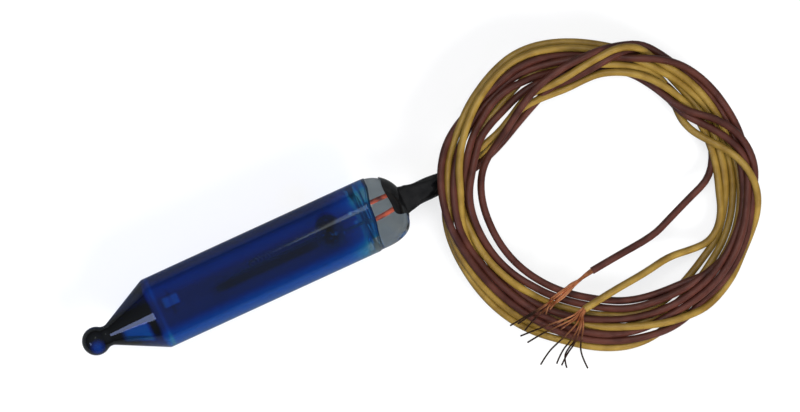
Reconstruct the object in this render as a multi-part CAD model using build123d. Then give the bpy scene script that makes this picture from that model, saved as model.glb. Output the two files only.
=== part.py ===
from build123d import *
import os
from math import asin, cos, degrees, pi, radians, sin, sqrt, tan

# Miniature flashing bulb: a sealed glass tube with blue dipped lacquer, a
# bimetal flasher inside, and two thin leads wound into one loose coil.
# The bulb lies on its side on a flat surface at z = 0, its tip towards -X and
# its leads towards +X. The origin is the bottom centre of the bulb with its
# sleeve. All sizes are in millimetres.

# Glass envelope
GLASS_DIAMETER = 4.90
GLASS_WALL = 0.40
TIP_BALL_DIAMETER = 1.85
NECK_BLEND_RADIUS = 0.62      # hollow blend between ball and cone
CONE_HALF_ANGLE = 27.0        # degrees
SHOULDER_FROM_TIP = 5.39      # bare ball's tip to the shoulder
SHOULDER_RADIUS = 0.45
TUBE_LENGTH = 16.20           # shoulder to where the sealed end starts to round off
SEAL_ROUNDING = 2.10          # length of the rounded, sealed end
SEAL_FACE_DIAMETER = 2.05     # flat left at the base
SEAL_DEPTH = 2.45             # solid glass between the gas space and the base
SEAL_MENISCUS = 1.10          # rounding of the gas space where it meets the seal
CAPILLARY_RADIUS = 0.20       # what is left of the gas space where the tip was drawn off
CAPILLARY_ROUNDING = 0.08

# Blue lacquer
LACQUER_THICKNESS = 0.05
DIP_EDGE_FROM_BASE = 2.22     # on the axis
DIP_SLANT_SIDEWAYS = 10.0     # degrees
DIP_SLANT_UPWARDS = 4.0

# Mount: glass bead and the three wires that it holds
MOUNT_OFFSET = 0.13           # sideways, away from the tube's axis
LEAD_PITCH = 0.78             # between the two seal wires
SEAL_WIRE_DIAMETER = 0.22
SEAL_WIRE_STRAIGHT = 0.35     # past the base, before the wire bends towards its splice
SEAL_WIRE_BEND = 0.80         # radius
SEAL_WIRE_BENT = 0.43         # past the sleeve's kink, where the wire runs along the sleeve
BEAD_FROM_BASE = 5.30         # bead's centre
BEAD_LENGTH = 2.00
BEAD_WIDTH = 2.40
BEAD_THICKNESS = 1.70
BEAD_ROUNDING = 0.72
BEAD_BELOW = 0.58             # share of the bead below the seal wires
LONG_WIRE_REACH = 2.20        # in front of the bead, carries the filament
SHORT_WIRE_REACH = 0.90       # in front of the bead, carries the bimetal strip
CONTACT_POST_DIAMETER = 0.20
CONTACT_POST_DROP = 0.56      # below the seal wires
CONTACT_POST_BURIED = 0.40    # past the bead's centre
CONTACT_POST_SWING = 1.20     # before the contact, where the post leans over towards it
CONTACT_POST_SWING_RADIUS = 0.80
SUPPORT_BEND = 0.20           # radius of the sharp bends in the post and the hook

# Bimetal strip and its contact
STRIP_LENGTH = 7.50
STRIP_WIDTH = 0.46
STRIP_THICKNESS = 0.10
STRIP_CORNER = 0.14           # corner radius
STRIP_FROM_BEAD = 0.10
STRIP_GAP = 0.02              # between the strip's foot and the wire that it is welded to
CONTACT_DIAMETER = 0.36
CONTACT_HEIGHT = 0.08
CONTACT_GAP = 0.02            # closed contact, drawn just apart
CONTACT_FROM_END = 0.26       # contact's centre to the strip's free end
ANVIL_HEIGHT = 0.06

# Filament
FILAMENT_WIRE = 0.05
FILAMENT_RADIUS = 0.15
FILAMENT_PITCH = 0.28
FILAMENT_OVERLAP = 0.32       # how far it is slid over each support
HOOK_DIAMETER = 0.18
HOOK_REACH = 0.62             # the hook's straight end, which the filament is slid over
FILAMENT_SPAN = 2.05          # between the two supports' tips

# Sleeve and splices
SLEEVE_REACH = 4.00           # base of the glass to the sleeve's mouth, level
SLEEVE_KINK = 1.00            # base of the glass to where the sleeve starts to droop
SLEEVE_DROOP = 12.0           # degrees
SLEEVE_ROOT = (1.75, 1.30)    # outside width and height at the glass
SLEEVE_MIDDLE = (1.62, 1.10)  # at the kink
SLEEVE_MOUTH = (1.34, 0.82)
SLEEVE_WALL = 0.13
SPLICE_DIAMETER = 0.46
SPLICE_LENGTH = 1.00
SPLICE_START = 0.72           # past the kink, along the sleeve
SPLICE_OVERLAP = 0.45         # seal wire inside its splice
SPLICE_ROUNDING = 0.16

# Leads
LEAD_DIAMETER = 0.51
LEAD_PITCH_IN_SLEEVE = 0.53
STRAND_DIAMETER = 0.11
STRAND_BEND = 1.20            # radius
CORNER_SHARE = 0.45           # share of the shorter run that a corner's arc may take

# Coil of both leads
COIL_FROM_BASE = 12.22        # coil's centre past the base of the glass
COIL_SIDEWAYS = -5.24
COIL_OUTER_RADIUS = 10.80
COIL_HOLE_RADIUS = 7.80
COIL_HOLE_SHIFT = 0.80        # the hole is off centre, so the ring is widest at the free ends
COIL_HOLE_BEARING = 95.0      # degrees, the way the hole is shifted
COIL_THICKNESS = 1.25
COIL_EDGE = 0.40              # bevel round both rims
COIL_RAISED_BEARING = 154.0   # degrees, the side that lies on the sleeve
COIL_CLEARANCE = 0.03

# Worked out from the sizes above
AXIS_HEIGHT = GLASS_DIAMETER / 2 + LACQUER_THICKNESS
GLASS_RADIUS = GLASS_DIAMETER / 2
GLASS_LENGTH = SHOULDER_FROM_TIP + TUBE_LENGTH + SEAL_ROUNDING
TIP_X = -(GLASS_LENGTH - LACQUER_THICKNESS + SLEEVE_REACH) / 2
SHOULDER_X = TIP_X + SHOULDER_FROM_TIP
TUBE_END_X = SHOULDER_X + TUBE_LENGTH
BASE_X = TUBE_END_X + SEAL_ROUNDING
GAS_END_X = BASE_X - SEAL_DEPTH
BEAD_X = BASE_X - BEAD_FROM_BASE
BEAD_FRONT_X = BEAD_X - BEAD_LENGTH / 2
LONG_WIRE_Y = MOUNT_OFFSET + LEAD_PITCH / 2
SHORT_WIRE_Y = MOUNT_OFFSET - LEAD_PITCH / 2


def glass_outline(skin=0.0):
    """Half profile of the envelope's outside, x along the axis and y its radius,
    standing proud of the bare glass by the given skin."""
    ball_x = TIP_X + TIP_BALL_DIAMETER / 2
    ball_radius = TIP_BALL_DIAMETER / 2 + skin
    radius = GLASS_RADIUS + skin
    slope = radians(CONE_HALF_ANGLE)
    shoulder_x = SHOULDER_X - skin * tan(slope / 2)
    cone_point = shoulder_x - radius / tan(slope)
    face = SEAL_FACE_DIAMETER / 2
    base_x = BASE_X + skin
    body = Polyline(
        (base_x, face), (base_x, 0), (cone_point, 0), (shoulder_x, radius), (TUBE_END_X, radius)
    )
    sealed_end = TangentArc((TUBE_END_X, radius), (base_x, face), tangent=(1, 0))
    ball = Pos(ball_x, 0) * Circle(ball_radius)
    profile = make_face([body, sealed_end]) + upper_half(ball)
    profile = fillet(nearest_corner(profile, shoulder_x, radius), SHOULDER_RADIUS + skin)
    behind_ball = (ball_x + ball_radius, ball_radius / 2)
    return fillet(nearest_corner(profile, *behind_ball), NECK_BLEND_RADIUS - skin)


def nearest_corner(profile, x, y):
    return profile.vertices().sort_by_distance((x, y))[0]


def upper_half(face):
    """What a flat face has above the axis that it is spun about."""
    return face & Pos(0, GLASS_DIAMETER) * Rectangle(3 * GLASS_LENGTH, 2 * GLASS_DIAMETER)


def spun(profile):
    """A half profile spun about X and raised to the bulb's axis."""
    return Pos(0, 0, AXIS_HEIGHT) * revolve(profile, Axis.X)


def gas_space():
    """The hollow inside the envelope, closed by the seal at one end and at the drawn tip."""
    bore = GLASS_RADIUS - GLASS_WALL
    slope = radians(CONE_HALF_ANGLE)
    inset = GLASS_WALL / cos(slope)
    tip_x = SHOULDER_X - (GLASS_RADIUS - inset - CAPILLARY_RADIUS) / tan(slope)
    shoulder_x = SHOULDER_X - (inset - GLASS_WALL) / tan(slope)
    outline = FilletPolyline(
        (tip_x, 0),
        (tip_x, CAPILLARY_RADIUS),
        (shoulder_x, bore),
        (GAS_END_X, bore),
        (GAS_END_X, 0),
        radius=[CAPILLARY_ROUNDING, SHOULDER_RADIUS, SEAL_MENISCUS],
    )
    return spun(make_face([outline, Line((GAS_END_X, 0), (tip_x, 0))]))


def wire(points, diameter, radii):
    """A round wire along straight runs joined by arcs of the given radii."""
    path = FilletPolyline(*points, radius=radii) if radii else Line(*points)
    start = Plane(path @ 0, z_dir=path % 0)
    return sweep(start * Circle(diameter / 2), path=path)


def kink_point():
    return Vector(BASE_X + SLEEVE_KINK, 0, AXIS_HEIGHT)


def along_sleeve(distance, sideways=0.0):
    """A point on the drooping part of the sleeve's centre line, past its kink."""
    droop = radians(SLEEVE_DROOP)
    step = Vector(distance * cos(droop), sideways, -distance * sin(droop))
    return kink_point() + step


def seal_wire(front_x, offset, side):
    """A seal wire: straight through bead and seal, then bent into its splice."""
    in_sleeve = side * LEAD_PITCH_IN_SLEEVE / 2
    end = along_sleeve(SPLICE_START + SPLICE_OVERLAP, in_sleeve)
    points = [
        (front_x, offset, AXIS_HEIGHT),
        (BASE_X + SEAL_WIRE_STRAIGHT, offset, AXIS_HEIGHT),
        along_sleeve(SEAL_WIRE_BENT, in_sleeve),
        end,
    ]
    return wire(points, SEAL_WIRE_DIAMETER, [SEAL_WIRE_BEND, SEAL_WIRE_BEND])


def splice(side, core):
    """A soldered joint, round at its front, cut to fit the seal wire inside it."""
    in_sleeve = side * LEAD_PITCH_IN_SLEEVE / 2
    start = along_sleeve(SPLICE_START, in_sleeve)
    along = (along_sleeve(1) - kink_point()).normalized()
    body = Cylinder(
        SPLICE_DIAMETER / 2, SPLICE_LENGTH, align=(Align.CENTER, Align.CENTER, Align.MIN)
    )
    front = body.faces().sort_by(Axis.Z)[0].edges()
    body = fillet(front, SPLICE_ROUNDING)
    return Plane(start, x_dir=(0, 1, 0), z_dir=along) * body - core


def slot_section(size, inset=0.0):
    """The sleeve's flattened section: a slot shape, less the wall where it is the inside."""
    width, height = size[0] - 2 * inset, size[1] - 2 * inset
    return SlotOverall(width, height)


def sleeve_planes():
    """Where the sleeve's three sections stand: at the glass, at the kink and at the mouth."""
    droop = radians(SLEEVE_DROOP)
    across = (0, 1, 0)
    mouth = along_sleeve((SLEEVE_REACH - SLEEVE_KINK) / cos(droop))
    half = radians(SLEEVE_DROOP / 2)
    return [
        Plane((BASE_X, 0, AXIS_HEIGHT), x_dir=across, z_dir=(1, 0, 0)),
        Plane(kink_point(), x_dir=across, z_dir=(cos(half), 0, -sin(half))),
        Plane(mouth, x_dir=across, z_dir=(cos(droop), 0, -sin(droop))),
    ]


def sleeve():
    """The shrunk tube over both splices: a flattened, tapering tube with a droop."""
    sizes = [SLEEVE_ROOT, SLEEVE_MIDDLE, SLEEVE_MOUTH]
    outer = [p * slot_section(s) for p, s in zip(sleeve_planes(), sizes)]
    inner = [p * slot_section(s, SLEEVE_WALL) for p, s in zip(sleeve_planes(), sizes)]
    return loft(outer, ruled=True) - loft(inner, ruled=True)


def bead(cores):
    """The glass bead: an oval pad lying across the tube, pressed round its three wires."""
    pad = extrude(Ellipse(BEAD_LENGTH / 2, BEAD_WIDTH / 2), BEAD_THICKNESS)
    pad = fillet(pad.edges(), BEAD_ROUNDING)
    pad = Pos(BEAD_X, MOUNT_OFFSET, AXIS_HEIGHT - BEAD_THICKNESS * BEAD_BELOW) * pad
    for core in cores:
        pad = pad - core
    return pad


# Places inside the bulb
long_wire_front = BEAD_FRONT_X - LONG_WIRE_REACH
short_wire_front = BEAD_FRONT_X - SHORT_WIRE_REACH
strip_bottom = AXIS_HEIGHT + SEAL_WIRE_DIAMETER / 2 + STRIP_GAP
strip_back = BEAD_FRONT_X - STRIP_FROM_BEAD
strip_front = strip_back - STRIP_LENGTH
contact_x = strip_front + CONTACT_FROM_END
post_height = AXIS_HEIGHT - CONTACT_POST_DROP
anvil_top = strip_bottom - CONTACT_HEIGHT - CONTACT_GAP
hook_tip = long_wire_front - FILAMENT_SPAN


def contact_post():
    """The third wire: it passes under the strip and turns up to the contact."""
    points = [
        (BEAD_X + CONTACT_POST_BURIED, MOUNT_OFFSET, post_height),
        (contact_x + CONTACT_POST_SWING, MOUNT_OFFSET, post_height),
        (contact_x, SHORT_WIRE_Y, post_height),
        (contact_x, SHORT_WIRE_Y, anvil_top - ANVIL_HEIGHT),
    ]
    return wire(points, CONTACT_POST_DIAMETER, [CONTACT_POST_SWING_RADIUS, SUPPORT_BEND])


def filament_hook(post):
    """The filament's far support: welded on the contact post, bent round to face the long wire."""
    root = hook_tip - HOOK_REACH
    points = [
        (root, MOUNT_OFFSET, post_height),
        (root, LONG_WIRE_Y, AXIS_HEIGHT),
        (hook_tip, LONG_WIRE_Y, AXIS_HEIGHT),
    ]
    return wire(points, HOOK_DIAMETER, [SUPPORT_BEND]) - post


def filament():
    """The tungsten coil, slid over the long wire's tip and the hook's."""
    length = FILAMENT_SPAN + 2 * FILAMENT_OVERLAP
    helix = Helix(FILAMENT_PITCH, length, FILAMENT_RADIUS)
    section = Plane(helix @ 0, z_dir=helix % 0) * Rectangle(FILAMENT_WIRE, FILAMENT_WIRE)
    coil = sweep(section, path=helix, is_frenet=True)
    start = Plane((hook_tip - FILAMENT_OVERLAP, LONG_WIRE_Y, AXIS_HEIGHT), z_dir=(1, 0, 0))
    return start * coil


def bimetal_strip():
    """Two metals bonded into one springy strip, welded by its back end to the short wire."""
    middle = ((strip_back + strip_front) / 2, SHORT_WIRE_Y, strip_bottom)
    strip = Box(
        STRIP_LENGTH, STRIP_WIDTH, STRIP_THICKNESS,
        align=(Align.CENTER, Align.CENTER, Align.MIN),
    )
    strip = fillet(strip.edges().filter_by(Axis.Z), STRIP_CORNER)
    return Pos(*middle) * strip


def button(height, z):
    """A small round contact, centred under the strip's free end."""
    disc = Cylinder(
        CONTACT_DIAMETER / 2, height, align=(Align.CENTER, Align.CENTER, Align.MIN)
    )
    return Pos(contact_x, SHORT_WIRE_Y, z) * disc


# The coil's frame: its plane is raised on the side that lies on the sleeve
coil_centre = Vector(BASE_X + COIL_FROM_BASE, COIL_SIDEWAYS, 0)


def sleeve_top_under_coil():
    """Height of the sleeve's back where the coil's outside crosses it."""
    across = sqrt(COIL_OUTER_RADIUS**2 - COIL_SIDEWAYS**2)
    past_kink = COIL_FROM_BASE - across - SLEEVE_KINK
    share = past_kink / (SLEEVE_REACH - SLEEVE_KINK)
    height = SLEEVE_MIDDLE[1] + share * (SLEEVE_MOUTH[1] - SLEEVE_MIDDLE[1])
    droop = radians(SLEEVE_DROOP)
    return AXIS_HEIGHT - past_kink * tan(droop) + height / 2 / cos(droop)


coil_rise = sleeve_top_under_coil() + COIL_CLEARANCE
coil_tilt = degrees(asin(coil_rise / (2 * COIL_OUTER_RADIUS)))


def coil():
    """Outer shape of the wound leads: a flat ring with an off-centre hole, tilted up at one side."""
    hole = Vector(COIL_HOLE_SHIFT, 0).rotate(Axis.Z, COIL_HOLE_BEARING - COIL_RAISED_BEARING)
    flat = Circle(COIL_OUTER_RADIUS) - Pos(hole.X, hole.Y) * Circle(COIL_HOLE_RADIUS)
    ring = extrude(flat, COIL_THICKNESS)
    ring = chamfer(ring.edges(), COIL_EDGE)
    # its low side stays on the surface while the other side is raised
    low_side = Pos(-COIL_OUTER_RADIUS, 0, 0)
    tilted = low_side * Rot(0, -coil_tilt, 0) * Pos(COIL_OUTER_RADIUS, 0, 0) * ring
    drop = tilted.bounding_box().min.Z
    placed = Pos(0, 0, -drop) * tilted
    return Pos(*coil_centre) * Rot(0, 0, COIL_RAISED_BEARING) * placed


# Routes of the leads where they aren't coiled, each point chosen by hand
YELLOW_START = [
    along_sleeve(SPLICE_START + SPLICE_LENGTH, LEAD_PITCH_IN_SLEEVE / 2),
    (14.60, 0.27, 1.74),
    (16.60, 0.82, 1.90),
    (18.70, 1.90, 2.14),
    (20.90, 3.00, 2.24),
    (22.60, 4.00, 2.20),
]
BROWN_START = [
    along_sleeve(SPLICE_START + SPLICE_LENGTH, -LEAD_PITCH_IN_SLEEVE / 2),
    (14.70, -0.27, 1.72),
    (17.30, 0.55, 1.90),
    (19.40, 1.60, 2.10),
    (21.70, 2.20, 2.12),
    (24.00, 2.40, 2.02),
    (26.00, 3.10, 1.85),
]
YELLOW_END = [
    (28.60, -11.40, 0.85),
    (26.40, -11.08, 1.12),
    (24.70, -10.96, 1.50),
    (22.80, -11.35, 2.00),
    (20.20, -11.52, 2.62),
    (18.00, -11.84, 3.05),
]
BROWN_END = [
    (31.20, -6.30, 0.90),
    (29.50, -7.40, 0.95),
    (28.00, -8.05, 1.10),
    (25.70, -9.06, 1.50),
    (22.90, -9.10, 2.05),
    (19.60, -9.68, 2.60),
]
YELLOW_STRANDS = [
    [(16.60, -12.10, 3.12), (13.30, -11.70, 3.20)],
    [(16.40, -12.25, 3.14), (13.60, -12.30, 3.10)],
    [(16.20, -12.80, 3.16), (13.80, -14.00, 2.80)],
    [(16.40, -13.00, 3.18), (14.90, -14.40, 2.90)],
    [(16.60, -13.20, 3.16), (15.15, -14.80, 2.75)],
    [(16.80, -13.30, 3.14), (15.60, -15.00, 2.70)],
    [(17.10, -13.60, 3.10), (16.70, -15.55, 2.60)],
]
BROWN_STRANDS = [
    [(18.40, -9.90, 2.80), (15.70, -10.60, 3.26)],
    [(18.40, -9.95, 2.80), (15.40, -10.95, 3.30)],
    [(18.40, -10.00, 2.80), (15.90, -11.30, 3.28)],
]


def corner_radii(points):
    """As large an arc at each corner as its two runs allow."""
    radii = []
    for before, corner, after in zip(points, points[1:], points[2:]):
        to_corner = Vector(corner) - Vector(before)
        from_corner = Vector(after) - Vector(corner)
        half_turn = radians(to_corner.get_angle(from_corner)) / 2
        radii.append(CORNER_SHARE * min(to_corner.length, from_corner.length) / tan(half_turn))
    return radii


def lead(name, points):
    """A lead's tube, with its radii and its volume against section times length printed."""
    radii = corner_radii(points)
    path = FilletPolyline(*points, radius=radii)
    tube = sweep(Plane(path @ 0, z_dir=path % 0) * Circle(LEAD_DIAMETER / 2), path=path)
    expected = pi * LEAD_DIAMETER**2 / 4 * path.length
    print(
        name, "length", round(path.length, 2), "radii", [round(r, 2) for r in radii],
        "volume over section x length", round(tube.volume / expected, 4),
    )
    return tube


def spread(end_point, before, count):
    """Where each strand leaves the lead's end: on a small circle about its core."""
    along = Vector(end_point) - Vector(before)
    face = Plane(end_point, z_dir=along)
    ring = LEAD_DIAMETER / 2 - STRAND_DIAMETER
    turns = [2 * pi * i / count for i in range(count)]
    return [face.from_local_coords((ring * cos(t), ring * sin(t), 0)) for t in turns]


def fan(route, ends):
    """All strands of one lead."""
    starts = spread(route[-1], route[-2], len(ends))
    return Compound(children=[
        wire([start, *points], STRAND_DIAMETER, [STRAND_BEND]) for start, points in zip(starts, ends)
    ])


long_wire = seal_wire(long_wire_front, LONG_WIRE_Y, 1)
short_wire = seal_wire(short_wire_front, SHORT_WIRE_Y, -1)
post = contact_post()
bulb = spun(glass_outline())
dip_plane = Plane(
    (BASE_X - DIP_EDGE_FROM_BASE, 0, AXIS_HEIGHT),
    z_dir=(1, -tan(radians(DIP_SLANT_SIDEWAYS)), -tan(radians(DIP_SLANT_UPWARDS))),
)
film = spun(glass_outline(LACQUER_THICKNESS)) - bulb
lead_coil = coil()

parts = {
    "glass_envelope": bulb - gas_space() - long_wire - short_wire,
    "blue_lacquer": split(film, bisect_by=dip_plane, keep=Keep.BOTTOM),
    "glass_bead": bead([long_wire, short_wire, post]),
    "seal_wire_long": long_wire,
    "seal_wire_short": short_wire,
    "contact_post": post,
    "contact_anvil": button(ANVIL_HEIGHT, anvil_top - ANVIL_HEIGHT),
    "filament_hook": filament_hook(post),
    "filament": filament(),
    "bimetal_strip": bimetal_strip(),
    "contact_button": button(CONTACT_HEIGHT, anvil_top + CONTACT_GAP),
    "splice_yellow": splice(1, long_wire),
    "splice_brown": splice(-1, short_wire),
    "shrink_sleeve": sleeve(),
    "yellow_lead_start": lead("yellow start", YELLOW_START) - lead_coil,
    "brown_lead_start": lead("brown start", BROWN_START) - lead_coil,
    "lead_coil": lead_coil,
    "yellow_lead_end": lead("yellow end", YELLOW_END) - lead_coil,
    "brown_lead_end": lead("brown end", BROWN_END) - lead_coil,
    "yellow_strands": fan(YELLOW_END, YELLOW_STRANDS),
    "brown_strands": fan(BROWN_END, BROWN_STRANDS),
}

os.makedirs("parts", exist_ok=True)
for node, shape in parts.items():
    export_step(shape, f"parts/{node}.step")
    print(node, "solids", len(shape.solids()), "volume", round(shape.volume, 4))
print("coil tilt", round(coil_tilt, 2), "coil centre", coil_centre, "base", round(BASE_X, 3))
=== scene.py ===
# %% [markdown]
# # A miniature flashing bulb with its two leads
#
# The real thing is a glass tube 5 mm thick and 24 mm long, dipped in blue lacquer, with a tiny
# bimetal flasher inside. Two thin wires, one yellow and one brown, leave it through a black
# shrunk sleeve and are wound together into one loose ring. The CAD model is loaded first and
# stays as it is. Everything below is built around it, in metres, in the same frame.

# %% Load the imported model
import math

import bpy
import numpy as np
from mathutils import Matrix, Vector


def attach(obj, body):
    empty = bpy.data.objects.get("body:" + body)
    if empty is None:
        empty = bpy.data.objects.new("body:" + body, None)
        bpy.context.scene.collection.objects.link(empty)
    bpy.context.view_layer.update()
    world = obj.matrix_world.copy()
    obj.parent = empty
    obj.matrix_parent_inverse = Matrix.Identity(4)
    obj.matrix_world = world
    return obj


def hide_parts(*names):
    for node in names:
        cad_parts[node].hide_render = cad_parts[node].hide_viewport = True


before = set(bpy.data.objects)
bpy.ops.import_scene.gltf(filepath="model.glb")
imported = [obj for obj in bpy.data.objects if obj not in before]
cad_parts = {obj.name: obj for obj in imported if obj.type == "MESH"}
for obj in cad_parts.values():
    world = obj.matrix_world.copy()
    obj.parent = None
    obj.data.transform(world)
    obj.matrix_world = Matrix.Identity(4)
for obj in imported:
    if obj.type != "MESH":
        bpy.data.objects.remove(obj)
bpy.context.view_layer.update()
MM = 0.001

# %% [markdown]
# ## Camera
#
# The photograph was taken from straight above, with the bulb running up to the left. A long lens
# keeps the bulb and the ring free of perspective. The camera could be turned towards the object
# with a constraint, but a plain turn about Z says the same thing in one number.

# %% The camera
PHOTO_WIDTH = 54.4 * MM
LENS = 400.0
SENSOR = 36.0
VIEW_CENTRE = (9.61 * MM, -0.27 * MM)
VIEW_TURN = math.radians(-24.66)

scene = bpy.context.scene
camera = bpy.data.objects.new("camera", bpy.data.cameras.new("camera"))
camera.data.lens = LENS
camera.data.sensor_width = SENSOR
camera.data.clip_start = 0.01
camera.data.clip_end = 20.0
camera.location = (*VIEW_CENTRE, PHOTO_WIDTH * LENS / SENSOR)
camera.rotation_euler = (0.0, 0.0, VIEW_TURN)
scene.collection.objects.link(camera)
scene.camera = camera
scene.view_settings.view_transform = "Standard"
print("camera height in mm:", round(camera.location.z / MM, 1))

# %% [markdown]
# ## Small helpers for meshes
#
# Every new shape here is a surface: a grid of points that a formula gives, turned into faces.
# Whole arrays go in at once, so no loop ever walks over single vertices.

# %% Put a grid of points into a mesh
def grid_faces(rows, columns, around):
    """Quads of a grid with rows x columns points. If around is true, the last column is
    joined back to the first. The order of the corners makes the faces point outwards."""
    row = np.arange(rows - 1)[:, None]
    column = np.arange(columns if around else columns - 1)[None, :]
    after = (column + 1) % columns
    corners = [row * columns + column, row * columns + after,
               (row + 1) * columns + after, (row + 1) * columns + column]
    return np.stack(np.broadcast_arrays(*corners), -1).reshape(-1, 4)


def new_piece(name, points, faces, body="bulb", slot=None, smooth=True):
    """A mesh object from points in mm and faces as corner numbers, riding on a CAD body."""
    mesh = bpy.data.meshes.new(name)
    mesh.from_pydata((np.asarray(points) * MM).tolist(), [], np.asarray(faces).tolist())
    mesh.update()
    mesh.polygons.foreach_set("use_smooth", np.full(len(mesh.polygons), smooth))
    piece = bpy.data.objects.new(name, mesh)
    scene.collection.objects.link(piece)
    if body:
        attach(piece, body)
    return piece


print("quads in a closed grid of 3 x 4 points:", len(grid_faces(3, 4, True)))

# %% [markdown]
# ## The two leads
#
# The leads are thin insulated wires: the yellow one is 28 cm long and the brown one 33 cm. They
# leave the sleeve under the ring, go round about 4.4 and 5.4 times, and end lying over the
# ring. A hand-wound ring is never a clean spiral: the wires cross over and under one another.
# So each lead is one smooth curve whose points come from three places. The start and the end are
# listed points. The turns are worked out: a table says how far out the wire lies at each bearing,
# and a short settling calculation pushes the turns apart until each one lies beside or on the
# others.

# %% Routes given as points, in mm
YELLOW_START = [(12.552, 0.265, 2.142), (14.60, 0.27, 1.74), (16.60, 0.82, 1.86),
                (18.70, 1.90, 2.10), (20.60, 3.00, 2.16)]
BROWN_START = [(12.552, -0.265, 2.142), (14.70, -0.27, 1.72), (17.30, 0.55, 1.88),
               (19.40, 1.62, 2.05)]
YELLOW_END = [(28.66, -10.62, 0.70), (27.66, -11.24, 0.85), (26.42, -11.22, 1.08),
              (24.73, -10.98, 1.55), (22.84, -11.32, 2.10), (20.17, -11.52, 2.75),
              (18.03, -11.82, 3.05)]
BROWN_END = [(29.70, -7.25, 0.75), (27.60, -8.00, 1.10), (25.80, -8.70, 1.55),
             (24.35, -9.28, 1.85), (21.39, -9.49, 2.40), (19.60, -9.68, 2.70)]
LEAD_DIAMETER = 0.51
print("points by hand:", sum(map(len, (YELLOW_START, YELLOW_END, BROWN_START, BROWN_END))))

# %% [markdown]
# The table of the turns. Bearings go down from 165 to -180 degrees in steps of 15, because the
# leads are wound clockwise, and 0 is to the right in the photograph. Each turn has its distance
# from the ring's centre and a row of figures, one per bearing: in how many half layers the wire
# lies above the lowest one. The figures say which wire is seen on top where two of them cross.

# %% Where each turn lies, in mm from the ring's centre
RING_CENTRE = np.array([22.09, -5.24])
RING_RADIUS = 10.80
RAISED_BEARING = math.radians(154.0)
RING_TILT = math.radians(6.99)
TURN_KNOTS = np.arange(165, -181, -15)
YELLOW_TURNS = [
    [None, None, None, 8.16, 8.26, 9.38, 10.61, 9.49, 9.11, 8.91, 8.77, 8.67,
     8.57, 8.30, 8.26, 8.50, 8.33, 8.09, 7.89, 8.06, 8.26, 8.64, 9.01, 9.25],
    [9.18, 9.11, 9.01, 9.49, 9.25, 8.98, 9.15, 9.08, 7.68, 7.96, 10.00, 10.95,
     10.51, 10.71, 10.51, 9.86, 9.15, 8.84, 8.74, 8.70, 8.91, 9.11, 9.38, 9.38],
    [9.72, 10.17, 10.51, 10.78, 10.34, 9.86, 9.52, 9.52, 9.49, 9.38, 9.28, 9.21,
     9.11, 8.98, 8.98, 9.11, 9.11, 9.11, 9.59, 9.83, 9.86, 10.03, 10.34, 10.06],
    [10.47, 10.54, 10.88, 11.22, 10.81, 10.27, 10.00, 9.96, 9.93, 9.72, 9.72, 9.72,
     9.66, 9.38, 9.45, 10.00, 10.44, 10.30, 10.03, 10.17, 10.27, 10.30, 10.47, 10.34],
    [9.38, 7.96, 7.99, 7.65, 7.55, 8.30, 8.70, 8.70, 8.67, 8.50, 8.36, 8.26,
     8.43, None, None, None, None, None, None, None, None, None, None, None],
]
YELLOW_LAYERS = [
    "000246601220000000013320", "111112210465024442000022", "444442222200000000012220",
    "222220122200000010000000", "001102222200000000000000",
]
BROWN_TURNS = [
    [None, None, None, 8.19, 8.06, 8.91, 10.44, 10.06, 9.86, 10.00, 10.40, 10.61,
     10.27, 9.59, 8.30, 7.72, 7.38, 6.99, 6.90, 6.94, 7.11, 7.33, 7.58, 7.92],
    [8.06, 7.62, 7.82, 8.40, 9.01, 9.72, 10.71, 10.27, 10.30, 10.17, 10.13, 10.00,
     9.79, 9.52, 9.21, 8.91, 8.60, 8.47, 8.40, 8.49, 8.53, 8.70, 8.70, 8.94],
    [9.25, 9.49, 9.59, 9.15, 8.91, 8.64, 8.70, 8.30, 8.13, 10.00, 10.85, 10.51,
     10.51, 10.37, 10.17, 10.27, 10.03, 9.83, 9.59, 9.38, 9.42, 9.62, 10.10, 10.61],
    [10.88, 10.57, 10.23, 10.30, 9.83, 9.52, 9.11, 8.50, 7.92, 9.04, 10.47, 10.13,
     10.13, 9.95, 9.69, 9.42, 9.55, 9.32, 9.11, 8.89, 8.89, 9.17, 9.68, 9.74],
    [10.06, 9.83, 9.86, 9.86, 9.42, 9.32, 9.59, 10.51, 10.68, 10.54, 10.34, 10.20,
     10.03, 9.42, 8.70, 8.19, 7.96, 7.53, 7.39, 7.51, 7.79, 8.13, 8.47, 8.79],
    [8.70, 8.94, 8.64, 8.74, 8.50, 8.91, 9.18, 8.84, 8.57, 8.77, 8.64, None,
     None, None, None, None, None, None, None, None, None, None, None, None],
]
BROWN_LAYERS = [
    "000226600000122210000000", "222446302212344442221102", "224200014654444222222344",
    "404420012644444322222222", "122222422200133222222222", "221120000000000000000000",
]
print("turns in the table:", len(YELLOW_TURNS), len(BROWN_TURNS))

# %% [markdown]
# A wire can't jump from one distance to the next, so the table is only a row of knots. A cubic
# curve through them gives the first path of each lead. Some bearings between two knots matter
# as well, where a wire slips past another, and they are added by their own unwound bearing:
# the bearing that goes on counting from turn to turn.

# %% From the table to a first path
STEP = 2                      # degrees between two points of the settling calculation
COLUMNS = 360 // STEP
HALF_LAYER = 0.42             # height of half a layer, in wire diameters
WIND_UP = 0.004               # how much higher later turns lie, in diameters for ten points


def smooth_between(at, value, x):
    """Cubic interpolation through knots, with slopes from the knots on both sides."""
    slope = np.gradient(value, at)
    i = np.clip(np.searchsorted(at, x, side="right") - 1, 0, len(at) - 2)
    width = at[i + 1] - at[i]
    t = (x - at[i]) / width
    a, b = value[i], value[i + 1]
    m, n = slope[i] * width, slope[i + 1] * width
    return ((2 * t**3 - 3 * t**2 + 1) * a + (t**3 - 2 * t**2 + t) * m
            + (3 * t**2 - 2 * t**3) * b + (t**3 - t**2) * n)


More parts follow.
